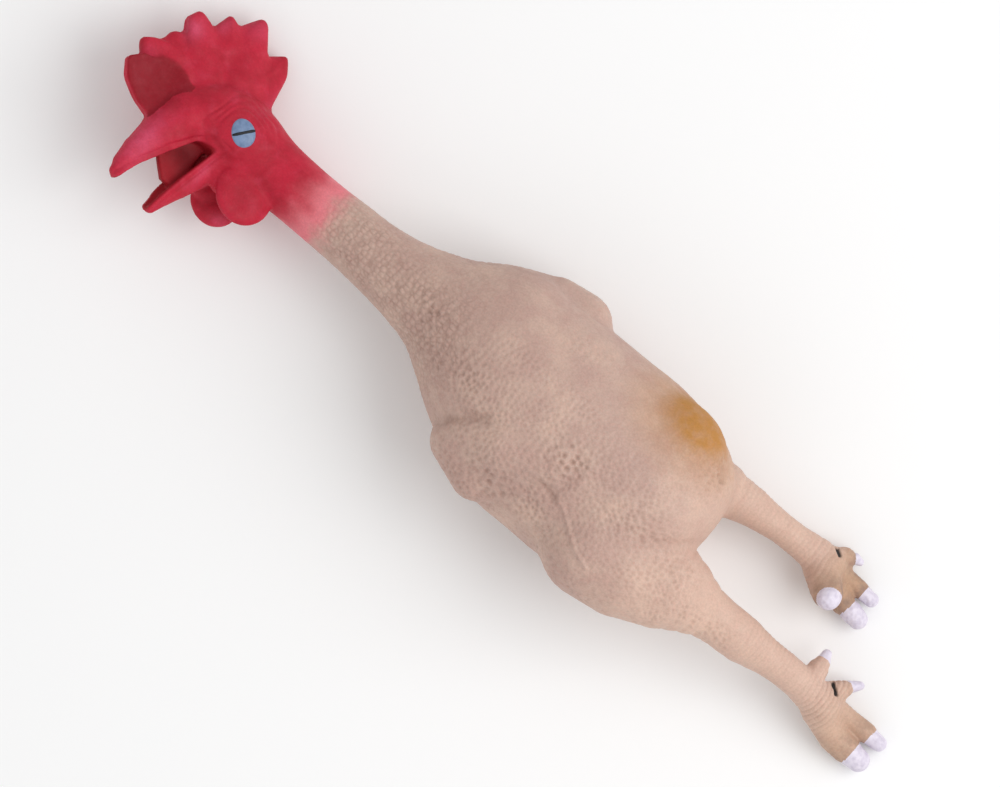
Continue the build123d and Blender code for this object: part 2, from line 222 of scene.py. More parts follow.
TOES_LEFT = {
    "outer": [(-190, 27, 20, 9), (-205, 32.4, 12.6, 8.2), (-213.6, 33, 9.4, 7.9)],
    "front": [(-192, 21, 18, 7), (-206, 20, 10.5, 5.6), (-217, 19.5, 7, 5.6)],
    "small": [(-186, 19, 20, 7), (-191.5, 12, 15, 5.6), (-193, 9.4, 13.4, 4.6)],
    "hind": [(-176, 19, 26, 6.4), (-175.2, 10.5, 24, 5.8), (-175, 7.6, 22.6, 4.6)],
}
TOES_RIGHT = {
    "near": [(-143, -31, 18, 10), (-150, -25.5, 26, 9), (-152.6, -23.6, 30.4, 8.4)],
    "middle": [(-147, -31, 14, 8), (-156, -27.5, 12, 7), (-162.5, -25, 10, 6.6)],
    "outer": [(-146, -36, 12.6, 7), (-157, -36, 9, 5.4), (-165, -36.2, 7, 4.9)],
    "small": [(-143, -38, 13, 7), (-148, -43.4, 10.4, 6.2)],
}
CLAWS_LEFT = [
    [(-218, 33.2, 9, 7.0), (-223.2, 33.4, 8.4, 6.3)],
    [(-219, 19.6, 7, 4.9), (-226, 19.6, 6.4, 4.3)],
    [(-194, 7.2, 12, 3.6), (-198.4, 2.6, 9.6, 2.4)],
    [(-174.8, 5.6, 21.6, 4), (-173.8, 1.6, 20.4, 2.8)],
]
CLAWS_RIGHT = [
    [(-154.6, -22.2, 33.6, 6.9), (-155, -21.6, 36.5, 6.2)],
    [(-168.6, -24.2, 9.6, 6.0), (-174.4, -23.4, 8.6, 5.4)],
    [(-168.6, -36, 7, 4.3), (-173.4, -36, 6.6, 3.9)],
    [(-152.6, -47, 9, 3.2), (-155.6, -47.2, 7.6, 2.2)],
]


TOE_FILLET = 2.2


def union_of(p, bars, k):
    whole = rod(p, bars[0])
    for bar in bars[1:]:
        whole = smooth_min(whole, rod(p, bar), k)
    return whole


def in_head(p):
    """The same points in the head's axes: up, front, left."""
    q = [p[i] - HEAD_CENTRE[i] for i in range(3)]
    return [sum(q[i] * axis[i] for i in range(3)) for axis in (HEAD_UP, HEAD_FRONT, HEAD_LEFT)]


# Comb petals in the head's axes: root up, front, radius; tip up, front, radius; lean to the left;
# tilt across.
COMB_PETALS = [
    (46, 11, 15, 66, 11.5, 10.5, 2.4, 0.42),
    (42, 0, 13, 68, -5, 7, 0.4, 0.34),
    (40, -8, 12, 59, -18.5, 5.4, 0.4, 0.2),
    (30, -14, 14, 54.5, -33.5, 8, 2.6, -0.12),
    (24, -20, 14, 38.5, -46, 6, -0.6, 0.1),
    (13, -26, 16, 24.4, -57, 5.8, 1.8, -0.1),
    (4, -24, 15, 1.6, -50, 7.4, -0.4, 0.12),
]
# The comb's outline: the corners and notches of its petals, up and front, going round from the beak.
COMB_CORNERS = [
    (24, 26), (38, 26), (54, 23.4), (66, 17.6), (73.4, 9.4), (67.6, 2.4), (73.2, -5), (63, -13),
    (61.6, -20), (56.4, -23.6), (60.4, -31), (57, -38.6), (45, -38), (41.4, -50.4), (34, -48.4),
    (27, -60.6), (21.6, -59.4), (12.6, -46.6), (3, -55), (-4, -45), (-7, -22), (-4, 10),
]
CORNER_CUT = 1.4          # how far back each corner is cut, mm


def with_cut_corners(corners, cut):
    out = []
    for i, corner in enumerate(corners):
        for other in (corners[i - 1], corners[(i + 1) % len(corners)]):
            share = cut / math.dist(corner, other)
            out.append(tuple(c + share * (o - c) for c, o in zip(corner, other)))
    return out


COMB_OUTLINE = with_cut_corners(COMB_CORNERS, CORNER_CUT)
PETAL_FLATNESS = 1.9
# Half the plate's thickness at its edge, and how much it gains inside, mm.
PLATE_EDGE, PLATE_SWELL = 2.8, 4.6


def inside_outline(u, v, corners):
    """Distance to a closed outline in its own plane, negative inside."""
    nearest = None
    inside = np.zeros(u.shape, bool)
    for (u0, v0), (u1, v1) in zip(corners, corners[1:] + corners[:1]):
        du, dv = u1 - u0, v1 - v0
        t = np.clip(((u - u0) * du + (v - v0) * dv) / (du * du + dv * dv), 0, 1)
        d = (u - u0 - t * du) ** 2 + (v - v0 - t * dv) ** 2
        nearest = d if nearest is None else np.minimum(nearest, d)
        if dv:
            inside ^= ((v0 > v) != (v1 > v)) & (u < u0 + du * (v - v0) / dv)
    return np.where(inside, -1, 1) * np.sqrt(nearest)


def comb_scoop(h):
    """The broad hollow in the near face of the front petal."""
    return lobe(h, (55, 22, 16.5), (33, 33, 15))


def comb(h):
    """The comb: overlapping flat petals on a plate in the middle plane, all cut to one pointed outline."""
    up, front, left = h
    outline = inside_outline(up, front, COMB_OUTLINE)
    d = np.abs(left) - PLATE_EDGE - PLATE_SWELL * smooth_step(0, 15, -outline)
    for u0, f0, r0, u1, f1, r1, lean, tilt in COMB_PETALS:
        length = math.hypot(u1 - u0, f1 - f0)
        across = ((u1 - u0) * (front - f0) - (f1 - f0) * (up - u0)) / length
        side = (left - lean + tilt * across) * PETAL_FLATNESS
        d = smooth_min(d, rod([up, front, side], [(u0, f0, 0, r0), (u1, f1, 0, r1)]), 1.6)
    d = smooth_max(d, outline, 4)
    return smooth_max(d, -comb_scoop(h), 1.2)


UPPER_BEAK = [
    (27, 14, 0, 15), (31, 27, 0, 12.6), (36.2, 43.6, 0, 8.4), (38.2, 54, 0, 5.8), (38.4, 60.4, 0, 3.4),
]
BEAK_RIDGE = [(35.6, 22, 0, 7), (36.8, 36, 0, 5.4), (38.5, 48, 0, 4.4), (38.2, 60, 0, 3.6)]
LOWER_BEAK = [
    (0, 14, 0, 12), (4, 28, 0, 10.4), (7.8, 42, 0, 8), (10.6, 53, 0, 5.8), (12.2, 62, 0, 3.8),
]


def upper_beak(h):
    """The upper beak: a heavy wedge with a rounded ridge and a hooked tip."""
    return smooth_min(rod(h, UPPER_BEAK), rod(h, BEAK_RIDGE), 3)


def lower_beak(h):
    return rod(h, LOWER_BEAK)


# The lips, seen from the side in the head's axes: front, then how far up.
LIP_UPPER = [
    (12, 8), (17, 10.6), (20.4, 13.6), (33, 22.2), (38, 24.4), (44, 27.4), (51, 31.4), (57, 33.8),
    (64, 36), (80, 44),
]
LIP_LOWER = [(12, 9), (20, 9.6), (30, 11.2), (42, 13.2), (56, 14.6), (66, 15), (80, 15.4)]
LIP_TWIST = 0.3
# The wall between the beaks: a place on its front rim (up, front), the rim's slant, and half its thickness.
WEB_RIM = (17, 46.8)
WEB_SLANT = 0.9
WEB_HALF = 1.5


def gape(h):
    """The opening between the lips, seen from the side; negative inside."""
    up, front, left = h
    top = np.interp(front, *zip(*LIP_UPPER)).astype(np.float32)
    low = np.interp(front, *zip(*LIP_LOWER)).astype(np.float32) - LIP_TWIST * left
    trough = np.clip(1 - (left / np.interp(front, (20, 45, 66), (11, 6.4, 2.4))) ** 2, 0, 1)
    depth = np.interp(front, (24, 40, 60, 66), (5, 4.6, 2.4, 0.6))
    palate = np.interp(front, (24, 40, 60, 66), (4, 3.4, 1.2, 0))
    wedge = smooth_max((up - top - palate * trough) * 0.85, low - depth * trough - up, 1.6)
    return smooth_max(wedge, 18.6 - front, 3)


def web(h):
    """The soft wall that joins the beaks at the back of the mouth, in the middle plane."""
    up, front, left = h
    rim = (front - WEB_RIM[1] + WEB_SLANT * np.maximum(up - WEB_RIM[0], 0)) / math.hypot(1, WEB_SLANT)
    d = smooth_max(rim, np.abs(left) - WEB_HALF - 0.9 * np.clip((front - 26) / 20, 0, 1), 1.4)
    return smooth_max(d, np.maximum(np.maximum(7 - up, up - 34), 6 - front), 2)


def wattles(h, side):
    if side > 0:
        flap = lobe(h, (-21.4, 25.6, 13), (16.6, 16.4, 5.2))
        fold = lobe(h, (-9, 24, 8), (9, 10, 5.5))
    else:
        flap = lobe(h, (-17.4, 27.6, -12), (15, 15.4, 5.6))
        fold = lobe(h, (-7, 26, -8), (9, 10, 5.5))
    return smooth_min(flap, fold, 2.5)


def eye_mound(h, side):
    return lobe(h, (2.4, 3.4, side * 17.2), (12, 11, 4.4))


def near(p, low, high, axis=0):
    return p[axis].min() < high and p[axis].max() > low


def features(p):
    """Distance to each moulded feature, by name, for those near these points."""
    f = {"core": core(p)}
    if near(p, -20, 75):
        f["wing_left"] = union_of(p, WING_LEFT_BARS, 9)
    if near(p, 15, 100):
        f["wing_right"] = union_of(p, WING_RIGHT_BARS, 5)
    if near(p, -150, 0):
        f["thigh_left"] = rod(p, THIGH_LEFT)
    if near(p, -176, -118):
        f["shank_left"] = rod(p, SHANK_LEFT)
    if near(p, -236, -146):
        f["foot_left"] = union_of(p, [ANKLE_BAR_LEFT, *TOES_LEFT.values()], TOE_FILLET)
        f["claws_left"] = union_of(p, CLAWS_LEFT, 0.5)
    if near(p, -105, -20):
        f["thigh_right"] = rod(p, THIGH_RIGHT)
        f["tail"] = lobe(p, (-42, -38, 68), (21, 15.5, 15))
    if near(p, -145, -72):
        f["shank_right"] = rod(p, SHANK_RIGHT)
    if near(p, -185, -118):
        f["foot_right"] = union_of(p, [ANKLE_BAR_RIGHT, *TOES_RIGHT.values()], TOE_FILLET)
        f["claws_right"] = union_of(p, CLAWS_RIGHT, 0.5)
    if near(p, 190, 330):
        h = in_head(p)
        if near(p, 228, 330):
            f["comb"] = comb(h)
        f["upper_beak"] = upper_beak(h)
        f["lower_beak"] = lower_beak(h)
        f["wattle_left"] = wattles(h, 1)
        f["wattle_right"] = wattles(h, -1)
        f["eye_mound"] = smooth_min(eye_mound(h, 1), eye_mound(h, -1), 1)
        f["web"] = web(h)
        f["gape"] = gape(h)
    return f


VENT = (-83, -6, 48, 1.6)          # x, y, z, radius


def vent_hole(p):
    """The squeaker's air hole in the rump."""
    return smooth_max(np.hypot(p[1] - VENT[1], p[2] - VENT[2]) - VENT[3], p[0] - VENT[0] - 2.4, 0.5)


# How softly each feature runs into the ones before it, mm.
FILLETS = [
    ("wing_left", 3.5), ("wing_right", 4), ("tail", 10), ("thigh_left", 6), ("thigh_right", 6),
    ("shank_left", 0.5), ("foot_left", 0.5), ("shank_right", 0.5), ("foot_right", 0.5),
    ("claws_left", 0.7), ("claws_right", 0.7),
    ("comb", 4), ("upper_beak", 3), ("lower_beak", 4), ("wattle_left", 3.2), ("wattle_right", 2.2),
    ("eye_mound", 5),
]


def chicken(p):
    f = features(p)
    d = f["core"]
    for name, k in FILLETS:
        if name in f:
            d = smooth_min(d, f[name], k)
    if "gape" in f:
        d = smooth_min(smooth_max(d, -f["gape"], 1.2), f["web"], 2)
    if near(p, -90, -76):
        d = smooth_max(d, -vent_hole(p), 0.6)
    return smooth_max(d, 0.15 - p[2], 1.2)


# ---- meshing
FIELD_LOW = np.array([-232, -68.8, -1.6])
FIELD_HIGH = np.array([320, 70.4, 103.2])
FIELD_REACH = 6.0        # distances are kept up to this far from the surface, mm
SLAB = 20                # how many layers of the field are worked out at once


def surface_of(field, step, low, reach):
    """The zero surface of a sampled distance field: points in mm and quads that face outward."""
    grid = openvdb.FloatGrid(reach)
    grid.copyFromArray(field)
    pts, faces = grid.convertToQuads(0.0)
    pts, faces = pts * step + low, faces.astype(np.int64)
    outward = np.einsum("ij,ij->i", face_normals(pts, faces), pts[faces[:, 0]] - pts.mean(0)).mean()
    return pts, faces if outward >= 0 else faces[:, ::-1]


def mesh_field():
    low = FIELD_LOW
    counts = np.ceil((FIELD_HIGH - low) / VOXEL).astype(int) + 1
    axes = [low[i] + VOXEL * np.arange(counts[i]) for i in range(3)]
    field = np.empty(counts, np.float32)
    for start in range(0, counts[0], SLAB):
        stop = min(start + SLAB, counts[0])
        p = np.meshgrid(axes[0][start:stop], axes[1], axes[2], indexing="ij")
        p = [q.astype(np.float32) for q in p]
        field[start:stop] = np.clip(chicken(p), -FIELD_REACH, FIELD_REACH)
    return surface_of(field, VOXEL, low, FIELD_REACH)


def face_normals(points, quads):
    a, b, c, d = (points[quads[:, i]] for i in range(4))
    return np.cross(c - a, d - b)


def vertex_normals(points, quads):
    n = face_normals(points, quads)
    total = np.zeros_like(points)
    for i in range(4):
        np.add.at(total, quads[:, i], n)
    return total / np.maximum(np.linalg.norm(total, axis=1, keepdims=True), 1e-9)


def hash_noise(cells, salt):
    """A repeatable number from 0 to 1 for each whole-number cell."""
    c = cells.astype(np.int64)
    v = (c[:, 0] * 73856093) ^ (c[:, 1] * 19349663) ^ (c[:, 2] * 83492791) ^ (salt * 2654435761)
    v = (v ^ (v >> 13)) * 1274126177 & 0x7FFFFFFF
    v = (v ^ (v >> 16)) & 0xFFFFF
    return v / 0xFFFFF


def pimples(points, spacing, jitter, salt=1, flat=False):
    """Distance, in spacings, to the nearest and next nearest of a loose lattice of points.

    A flat lattice is laid out as seen from above, with every other row set back by half a spacing.
    """
    cell = points / spacing
    if flat:
        cell[:, 2] = 0.5
    base = np.floor(cell)
    first = np.full(len(points), 9.0)
    second = np.full(len(points), 9.0)
    for dx in (-1, 0, 1):
        for dy in (-1, 0, 1):
            for dz in ((0,) if flat else (-1, 0, 1)):
                c = base + (dx, dy, dz)
                spot = c + 0.5
                if flat:
                    spot[:, 1] += 0.5 * (c[:, 0] % 2) - 0.25
                for axis in range(2 if flat else 3):
                    spot[:, axis] += jitter * (hash_noise(c, salt * 3 + axis) - 0.5)
                d = np.linalg.norm(cell - spot, axis=1)
                second = np.minimum(second, np.maximum(first, d))
                first = np.minimum(first, d)
    return first, second


def soft_noise(points, size, salt=7):
    """Smooth value noise from 0 to 1."""
    cell = points / size
    base = np.floor(cell)
    t = cell - base
    t = t * t * (3 - 2 * t)
    total = np.zeros(len(points))
    for dx in (0, 1):
        for dy in (0, 1):
            for dz in (0, 1):
                corner = base + (dx, dy, dz)
                weight = np.abs(1 - dx - t[:, 0]) * np.abs(1 - dy - t[:, 1]) * np.abs(1 - dz - t[:, 2])
                total += weight * hash_noise(corner, salt)
    return total


points, quads = mesh_field()
normals = vertex_normals(points, quads)


# ---- surface detail, as real shape
def in_blocks(function, pts, size=60000):
    """Runs a function of points over slices sorted along X, so that far features are skipped."""
    order = np.argsort(pts[:, 0])
    out = {}
    for start in range(0, len(pts), size):
        part = order[start:start + size]
        p = [pts[part, i] for i in range(3)]
        for name, value in function(p).items():
            out.setdefault(name, np.full(len(pts), FAR, np.float32))[part] = value
    return out


def flat_distance(pts, route):
    """Distance to a polyline, seen from above."""
    return rod([pts[:, 0], pts[:, 1], 0 * pts[:, 0]], [(x, y, 0, 0.0) for x, y in route])


def gauss(distance, width):
    return np.exp(-(distance / width) ** 2)


# Creases and lips seen from above: x, y route; depth or height; width.
CREASES = [
    ([(2, 31.4), (-3, 31.2), (-9, 32.4)], 1.3, 1.9),
    ([(-12, 34.4), (-17, 36.4), (-24, 41.4), (-30, 45.6)], 0.4, 1.0),
    ([(-84, 2), (-76, 8), (-67, 14), (-58, 19)], 0.7, 3.0),
    ([(22.0, 55), (22.0, 62), (22.4, 68)], 1.1, 1.5),
    ([(65, 44), (60, 37), (54, 30), (46, 23.5)], 1.5, 3.0),
    ([(-65, -44), (-68, -38), (-71, -33)], 1.2, 2.6),
]
LIPS = [
    ([(-13, 31.6), (-20, 35), (-28, 41), (-36, 46), (-46, 49.4)], 0.85, 1.1),
    ([(-14.5, 8), (-14, 20), (-13, 30.6)], 0.9, 3.4),
]
# Where the goose skin is pitted deeply, and where it is rough: x, y, half length, half width, strength.
DEEP = [
    (-2, 13, 11, 9, 0.9), (19, 47, 17, 6, 0.5), (-88, 20, 9, 11, 0.35), (84, 16, 15, 5, 0.5),
    (104, 0, 10, 8, 0.55), (-72, -36, 6, 8, 0.55),
]
ROUGH = [
    (-1, 14, 11, 10, 1.0), (20, 46, 20, 8, 0.75), (-80, 23, 17, 12, 0.5), (-68, -33, 9, 13, 0.7),
    (8, -14, 9, 5, 0.35), (30, -38, 11, 6, 0.3), (42, -14, 22, 5, 0.2), (66, 14, 16, 7, 0.45),
    (88, 16, 12, 7, 0.7), (-4, 44, 9, 7, 0.35), (-42, 22, 10, 10, 0.2),
]
# Painted pink highlights on the red: x, y, half length, half width, strength.
PINK_HIGHLIGHTS = [
    (279, 29, 7, 15, 1.0), (297, -33, 6, 6, 0.9), (286, -45, 4, 5, 0.5), (272, -55, 8, 6, 0.5),
    (221, 36, 5, 4, 0.7), (244, 22, 2.4, 9, 0.6), (306, -8, 5, 5, 0.35), (240, -30, 4, 9, 0.3),
]
# Painted shade on the red: x, y, half length, half width, strength.
SHADED = [
    (219, 19, 12, 10, 0.4), (272, -22, 14, 14, 0.22), (302, 0, 12, 6, 0.25), (204, 8, 14, 6, 0.15),
]
SLITS = [((-191.6, 14.2), (-186.4, 10.8)), ((-145, -43.2), (-139.8, -46))]
SLIT_WIDTH = 0.95
# The shallow dent in the near wattle: x, y, half length, half width, depth.
WATTLE_DENT = (220, 21, 8.5, 6.5, 1.5)
# Spacings of the pits and pebbles, and of the leg's wrinkles, mm.
SIDE_PITS, TOP_PITS, DEEP_PITS, PEBBLES, FINE_GRAIN, WRINKLES = 3.3, 3.2, 4.4, 3.1, 1.7, 2.9
LEG_SPLIT = -8                  # the y that parts the left leg from the right
RED_START, RED_FULL = 163, 209  # the x where the red paint begins and where it covers


def spot(x, y, cx, cy, half_x, half_y):
    """A soft round patch, seen from above: 1 at its centre."""
    return gauss(np.hypot((x - cx) / half_x, (y - cy) / half_y), 1.0)


def body_left(x):
    """The bird's own left side: the torso lies half on its back, the head on its cheek."""
    turn = smooth_step(80, 210, x)[:, None]
    left = (1 - turn) * np.array([0, 0.7, 0.71]) + turn * HEAD_LEFT
    return left / np.linalg.norm(left, axis=1, keepdims=True)


def relief_and_masks(pts, nrm):
    """How far each point moves along its normal, in mm, and the paint masks."""
    x, y, z = pts.T
    f = in_blocks(features, pts)
    up_facing = smooth_step(0.0, 0.5, nrm[:, 2])
    h = in_head([x, y, z])
    head_zone = smooth_step(196, 206, x)
    flank = np.abs(np.einsum("ij,ij->i", nrm, body_left(x)))
    patchy = soft_noise(pts, 17, 3)
    leg = np.minimum.reduce([f[n] for n in ("shank_left", "foot_left", "shank_right", "foot_right")])
    on_leg = 1 - smooth_step(0.5, 3.0, leg)
    body = (1 - on_leg) * (1 - smooth_step(176, 192, x))

    # Pits all over the body, deep in patches; pebbles along the neck.
    rough = 0.08 + 0.42 * smooth_step(0.3, 0.9, flank) * (0.3 + 1.1 * patchy)
    for *place, strength in ROUGH:
        rough += strength * spot(x, y, *place) * up_facing
    deep = np.zeros(len(pts))
    for *place, strength in DEEP:
        deep += strength * spot(x, y, *place) * up_facing
    above = smooth_step(0.4, 0.62, nrm[:, 2])
    swirl = 6.0 * np.stack([soft_noise(pts, 26, 51), soft_noise(pts, 26, 52), soft_noise(pts, 26, 53)], 1)
    side_first, _ = pimples(pts + 40, SIDE_PITS, 0.7)
    top_first, _ = pimples(pts + swirl + 40, TOP_PITS, 0.75, salt=6, flat=True)
    first = side_first + above * (top_first - side_first)
    pit = gauss(first, 0.33)
    rim = gauss(first - 0.62, 0.22)
    neck = smooth_step(62, 92, x)
    pitted = body * (1 - 0.75 * neck) * (1 - np.clip(1.2 * deep, 0, 0.9))
    relief = pitted * rough * (0.36 * rim - 0.95 * pit)
    # Painted shade: the pits, the gaps between pebbles, the wrinkle troughs and the creases are painted
    # darker.
    hollow_shade = 0.5 * pitted * (0.04 + rough) * pit
    coarse_first, _ = pimples(pts + swirl + 13, DEEP_PITS, 0.6, salt=14, flat=True)
    relief += body * deep * (0.6 * gauss(coarse_first - 0.6, 0.2) - 1.7 * gauss(coarse_first, 0.3))
    hollow_shade += 0.9 * body * deep * gauss(coarse_first, 0.3)
    warped = pts * (0.85, 1.1, 1.1)
    big_first, big_second = pimples(warped + 40, PEBBLES, 0.55, salt=9)
    gap = 1 - smooth_step(0.02, 0.42, big_second - big_first)
    lumpy = body * neck * (0.2 + 0.5 * smooth_step(0.25, 0.85, flank)) * (0.6 + 0.5 * patchy)
    relief += lumpy * (0.34 * gauss(big_first, 0.45) - 0.46 * gap)
    hollow_shade += 0.75 * lumpy * gap
    fine_first, _ = pimples(pts + 11, FINE_GRAIN, 0.9, salt=5)
    relief += 0.07 * (1 - head_zone) * (gauss(fine_first, 0.5) - 0.4)

    ring = (soft_noise(pts, 9, 12) - 0.5) * 2.2
    along = np.where(y > LEG_SPLIT, -0.93 * x - 0.36 * z, -0.97 * x - 0.2 * z)
    wrinkle = np.sin(2 * math.pi * (along + ring) / WRINKLES)
    wrinkle_more = smooth_step(0.35, 0.75, soft_noise(pts, 11, 15))
    ankle = np.where(y > LEG_SPLIT, 1.0 * gauss(x + 189, 9), 0.35 * gauss(x + 141, 8))
    relief += on_leg * (0.02 + 0.08 * wrinkle_more + 0.16 * ankle * up_facing) * wrinkle
    hollow_shade += on_leg * (0.1 + 0.35 * ankle) * smooth_step(0.2, 1.0, -wrinkle)

    crease_shade = np.zeros(len(pts))
    for route, depth, width in CREASES:
        near_route = gauss(flat_distance(pts, route), width) * up_facing
        relief -= depth * near_route
        crease_shade += 0.4 * max(min(depth, 1.6) - 0.4, 0) * near_route
    for route, height, width in LIPS:
        relief += height * gauss(flat_distance(pts, route), width) * up_facing
    *place, depth = WATTLE_DENT
    relief -= depth * up_facing * spot(x, y, *place)
    # The toe slits and the vent hole are painted near black inside: painted shade.
    slit = np.zeros(len(pts))
    for start, end in SLITS:
        d = flat_distance(pts, [start, end])
        cut = 1 - smooth_step(SLIT_WIDTH - 0.2, SLIT_WIDTH + 0.3, d)
        slit = np.maximum(slit, cut * (nrm[:, 2] > 0.2))
    relief -= 1.0 * slit
    slit = np.maximum(slit, 1 - smooth_step(0.1, 0.5, vent_hole([x, y, z])))

    # Rings of loose skin round the eye and under the brow, and the rolled lips.
    side_facing = smooth_step(0.3, 0.8, np.abs(nrm @ HEAD_LEFT)) * head_zone
    wobble = (soft_noise(pts, 12, 21) - 0.5) * 5.0
    eye_distance = np.hypot((h[0] - 1.2) * 1.08, (h[1] - 4.4))
    for radius, depth in ((10.6, 0.3), (14.6, 0.55), (17.8, 0.35), (21.6, 0.5)):
        behind = smooth_step(-4, 8, 0.55 * h[0] - h[1]) * (0.35 + 1.1 * soft_noise(pts + radius, 8, 22))
        off_comb = smooth_step(1.0, 4.0, f["comb"])
        fold = gauss(eye_distance + wobble - radius, 1.0)
        relief -= depth * fold * side_facing * (0.15 + behind) * off_comb
    outside_mouth = smooth_step(0.2, 1.0, f["gape"]) * side_facing * (h[1] > 12)
    relief += 0.9 * gauss(f["gape"] - 1.6, 0.85) * outside_mouth
    relief -= 0.7 * gauss(f["gape"] - 4.0, 0.8) * outside_mouth
    relief += head_zone * 0.1 * (soft_noise(pts, 3.2, 31) - 0.5)

    edge = (soft_noise(pts, 7, 41) - 0.5) * 9
    red = smooth_step(RED_START, RED_FULL, x + edge)
    # Painted highlight: pink spots where light catches the comb, beak and wattle.
    painted_highlight = np.zeros(len(pts))
    for *place, strength in PINK_HIGHLIGHTS:
        painted_highlight += strength * spot(x, y, *place) * up_facing
    rump = np.sqrt(((x + 42) / 1.25) ** 2 + (y + 46) ** 2 + ((z - 72) / 1.5) ** 2)
    yellow = (1 - smooth_step(2, 24, rump + (patchy - 0.5) * 5)) + 0.42 * (1 - smooth_step(12, 44, rump))
    inside_mouth = 1 - smooth_step(0.4, 1.4, f["gape"])
    # Painted shade: the red darkens toward the back of the mouth.
    throat = gauss(np.sqrt((h[0] - 15) ** 2 + (h[1] - 28) ** 2 + 0.2 * (np.abs(h[2]) - 5) ** 2), 8.5)
    foot = np.maximum(1 - smooth_step(-212, -180, x), (1 - smooth_step(-160, -134, x)) * (y < LEG_SPLIT))
    foot *= on_leg * np.where(y > LEG_SPLIT, 0.7, 1.25)
    claw_edge = gauss(np.minimum(f["claws_left"], f["claws_right"]) - 1.5, 4.5) * on_leg
    grime = foot * np.clip(0.2 + 0.9 * (soft_noise(pts, 6, 71) - 0.35) + 0.7 * claw_edge, 0, 1)
    # Painted light: the skin is painted paler toward the rear, where the light falls brighter.
    painted_rear_light = 1 - smooth_step(-112, -30, x)
    # Painted shade: the comb's scoop and the spots listed above are painted darker red.
    painted_red_shade = (1 - smooth_step(0.0, 1.6, comb_scoop(h))) * (f["comb"] < 2)
    for *place, strength in SHADED:
        painted_red_shade = painted_red_shade + strength * spot(x, y, *place) * up_facing
    painted_red_shade = np.clip(painted_red_shade, 0, 1)
    masks = {
        "painted_red_shade": painted_red_shade, "painted_highlight": painted_highlight, "red": red, "yellow": np.clip(yellow, 0, 1),
        "mouth": inside_mouth, "throat": throat * inside_mouth,
        "foot": foot, "grime": grime, "painted_rear_light": painted_rear_light, "slit": slit,
        "hollow_shade": np.clip(hollow_shade + crease_shade, 0, 1.5),
    }
    return relief, masks, f


relief, masks, feature_at = relief_and_masks(points, normals)
rest = points.copy()
points = points + normals * relief[:, None]
points[:, 2] = np.maximum(points[:, 2], 0.1)
normals = vertex_normals(points, quads)

# ---- cutting the skin into its pieces
centres = rest[quads].mean(1)
at_face = {n: v[quads].mean(1) for n, v in feature_at.items()}
names = [n for n in at_face if n not in ("web", "gape")]
on_web = (at_face["web"] < 1.0) & (at_face["gape"] < 0.6)
label = np.array(names)[np.argmin(np.stack([at_face[n] for n in names]), axis=0)]
cx, cy, cz = centres.T
hu, hf, _ = in_head([cx, cy, cz])


def leg_place(joint, toward, reach_before, reach_after):
    """Start and end of a bending stretch through a joint, along the limb."""
    way = unit(np.array(toward, float) - joint)
    return joint - reach_before * way, joint + reach_after * way


BENDS = {
    "neck_base": (NECK_BASE - (18, 0, 0), NECK_BASE + (18, 0, 0)),
    "neck_mid": (NECK_MID - (16, 0, 0), NECK_MID + (16, 0, 0)),
    "head": (HEAD_NOD - (14, 0, 0), HEAD_NOD + (10, 0, 0)),
    "hock_left": leg_place(HOCK_LEFT, ANKLE_LEFT, 13, 12),
    "ankle_left": leg_place(ANKLE_LEFT, (-190, 24.8, 21.4), 11, 11),
    "hock_right": leg_place(HOCK_RIGHT, ANKLE_RIGHT, -0.5, 17),
    "ankle_right": leg_place(ANKLE_RIGHT, (-143, -34, 16.4), 9, 9),
}
JAW_START, JAW_END = 18.0, 34.0
MOUTH_BACK = 15          # how far forward in the head the mouth begins, mm
MARGIN = -0.06           # how far ahead of its bend a piece starts, as a share of the bend


def beyond(bend, share=0.0):
    """Which faces lie past a share of a bending stretch."""
    start, end = BENDS[bend]
    way = end - start
    return (centres - start) @ way / (way @ way) > share


leg_left = np.isin(label, ["thigh_left", "shank_left", "foot_left", "claws_left"]) & (cx < -95)
leg_right = np.isin(label, ["thigh_right", "shank_right", "foot_right", "claws_right"])
piece = np.where(np.isin(label, ["shank_left", "foot_left"]), "thigh_left", label).astype("U20")
piece[np.isin(label, ["shank_right", "foot_right"])] = "thigh_right"
piece[label == "core"] = "torso"
piece[label == "eye_mound"] = "head"
piece[(label == "core") & beyond("neck_base", MARGIN)] = "neck_lower"
piece[(label == "core") & (cx > (BENDS["neck_base"][1][0] + BENDS["neck_mid"][0][0]) / 2)] = "neck_upper"
piece[(label == "core") & (cx > (BENDS["neck_mid"][1][0] + BENDS["head"][0][0]) / 2)] = "neck_top"
piece[(label == "core") & beyond("head", 1.08)] = "head"
piece[(piece == "head") & (hf > JAW_START - 0.6) & (hu < 10.5)] = "throat"
in_mouth = (at_face["gape"] < 1.3) & (hf > MOUTH_BACK)
mouth_middle = 11.8 + 0.27 * (hf - 18)
piece[in_mouth & (hu > mouth_middle)] = "upper_beak"
piece[in_mouth & (hu <= mouth_middle)] = "lower_beak"
piece[on_web & (hf > MOUTH_BACK)] = "mouth_wall"
for side, leg in (("left", leg_left), ("right", leg_right)):
    piece[leg & beyond("hock_" + side, MARGIN)] = "shank_" + side
    shank_middle = (BENDS["hock_" + side][1] + BENDS["ankle_" + side][0]) / 2
    piece[leg & (cx < shank_middle[0])] = "foot_" + side
    piece[label == "claws_" + side] = "claws_" + side


